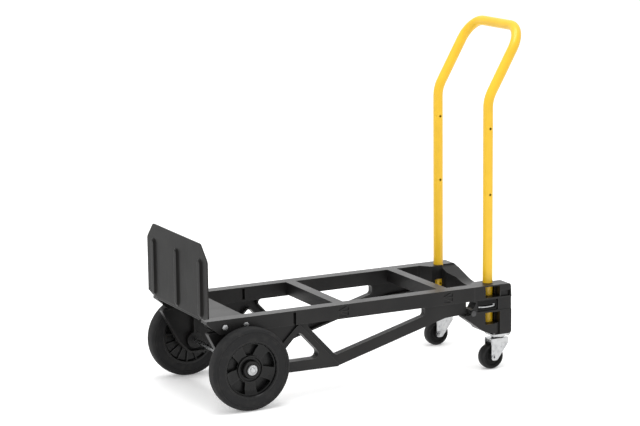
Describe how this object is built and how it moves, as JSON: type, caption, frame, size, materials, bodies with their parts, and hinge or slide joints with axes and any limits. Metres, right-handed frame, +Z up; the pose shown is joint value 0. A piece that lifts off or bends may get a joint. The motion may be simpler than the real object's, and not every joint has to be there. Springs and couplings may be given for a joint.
{
  "type": "folding platform cart",
  "caption": "Convertible hand truck set as a platform cart: moulded truss side frames, steel toe plate, large fixed wheels, swivel casters and a lift-out looped handle.",
  "frame": {"origin": "on the floor under the middle of the cart's bounding box", "axes": "+X along the cart from the toe plate to the handle, +Y to the right of a person at the handle who faces the toe plate, +Z up"},
  "size_m": [0.9189, 0.417, 0.8767],
  "materials": {
    "frame_plastic": "moulded, fine grain",
    "toe_steel": "powder coat, satin",
    "tyre_rubber": "moulded solid rubber",
    "hub_plastic": "moulded, satin",
    "bush_nylon": "natural nylon",
    "caster_rubber": "smooth",
    "caster_plastic": "moulded",
    "handle_paint": "gloss powder coat",
    "plug_plastic": "moulded",
    "spring_steel": "drawn wire",
    "dark_steel": "black oxide",
    "axle_steel": "plain bar",
    "zinc_plate": "bright zinc plated"
  },
  "bodies": {
    "frame": {"axle": "axle_steel", "axle_caps": "zinc_plate", "axle_washers": "zinc_plate", "brace_screws": "zinc_plate", "caster_kingpin_left": "zinc_plate", "caster_kingpin_right": "zinc_plate", "caster_plate_left": "zinc_plate", "caster_plate_right": "zinc_plate", "caster_plate_screws": "zinc_plate", "caster_race_left": "zinc_plate", "caster_race_right": "zinc_plate", "corner_block_left": "frame_plastic", "corner_block_right": "frame_plastic", "cross_brace_handle": "frame_plastic", "cross_brace_toe": "frame_plastic", "crosshead_screws": "zinc_plate", "end_crosshead": "frame_plastic", "joint_bolts": "dark_steel", "joint_nuts": "dark_steel", "lock_spring_left": "spring_steel", "lock_spring_right": "spring_steel", "side_frame_left": "frame_plastic", "side_frame_right": "frame_plastic", "toe_bolts": "zinc_plate", "toe_nuts": "zinc_plate", "toe_plate": "toe_steel"},
    "wheel_left": {"wheel_bushes_left": "bush_nylon", "wheel_hub_left": "hub_plastic", "wheel_tyre_left": "tyre_rubber"},
    "wheel_right": {"wheel_bushes_right": "bush_nylon", "wheel_hub_right": "hub_plastic", "wheel_tyre_right": "tyre_rubber"},
    "caster_swivel_left": {"caster_bolt_left": "zinc_plate", "caster_fork_left": "zinc_plate", "caster_nut_left": "zinc_plate"},
    "caster_swivel_right": {"caster_bolt_right": "zinc_plate", "caster_fork_right": "zinc_plate", "caster_nut_right": "zinc_plate"},
    "caster_wheel_left": {"caster_bush_left": "bush_nylon", "caster_core_left": "caster_plastic", "caster_tread_left": "caster_rubber"},
    "caster_wheel_right": {"caster_bush_right": "bush_nylon", "caster_core_right": "caster_plastic", "caster_tread_right": "caster_rubber"},
    "handle": {"handle_end_plugs": "plug_plastic", "handle_tube": "handle_paint"},
    "lock_left": {"lock_bail_left": "zinc_plate", "lock_pin_left": "zinc_plate", "lock_pull_left": "frame_plastic"},
    "lock_right": {"lock_bail_right": "zinc_plate", "lock_pin_right": "zinc_plate", "lock_pull_right": "frame_plastic"}
  },
  "joints": [
    {"name": "wheel_left_spin", "type": "hinge", "parent": "frame", "child": "wheel_left", "pos_m": [-0.35275, -0.187, 0.1016], "axis": [0, 1, 0], "continuous": true},
    {"name": "caster_left_swivel", "type": "hinge", "parent": "frame", "child": "caster_swivel_left", "pos_m": [0.36825, -0.139, 0.08], "axis": [0, 0, 1], "continuous": true},
    {"name": "caster_left_roll", "type": "hinge", "parent": "caster_swivel_left", "child": "caster_wheel_left", "pos_m": [0.34725, -0.139, 0.0325], "axis": [0, 1, 0], "continuous": true},
    {"name": "lock_left_pull", "type": "slide", "parent": "frame", "child": "lock_left", "axis": [0, -1, 0], "range_m": [0, 0.006], "stiffness_N_per_m": 400, "springref_m": -0.01, "deforming": ["lock_spring_left"]},
    {"name": "wheel_right_spin", "type": "hinge", "parent": "frame", "child": "wheel_right", "pos_m": [-0.35275, 0.187, 0.1016], "axis": [0, 1, 0], "continuous": true},
    {"name": "caster_right_swivel", "type": "hinge", "parent": "frame", "child": "caster_swivel_right", "pos_m": [0.36825, 0.139, 0.08], "axis": [0, 0, 1], "continuous": true},
    {"name": "caster_right_roll", "type": "hinge", "parent": "caster_swivel_right", "child": "caster_wheel_right", "pos_m": [0.34725, 0.139, 0.0325], "axis": [0, 1, 0], "continuous": true},
    {"name": "lock_right_pull", "type": "slide", "parent": "frame", "child": "lock_right", "axis": [0, 1, 0], "range_m": [0, 0.006], "stiffness_N_per_m": 400, "springref_m": -0.01, "deforming": ["lock_spring_right"]},
    {"name": "handle_lift", "type": "slide", "parent": "frame", "child": "handle", "axis": [0, 0, 1], "range_m": [0, 0.15]}
  ]
}
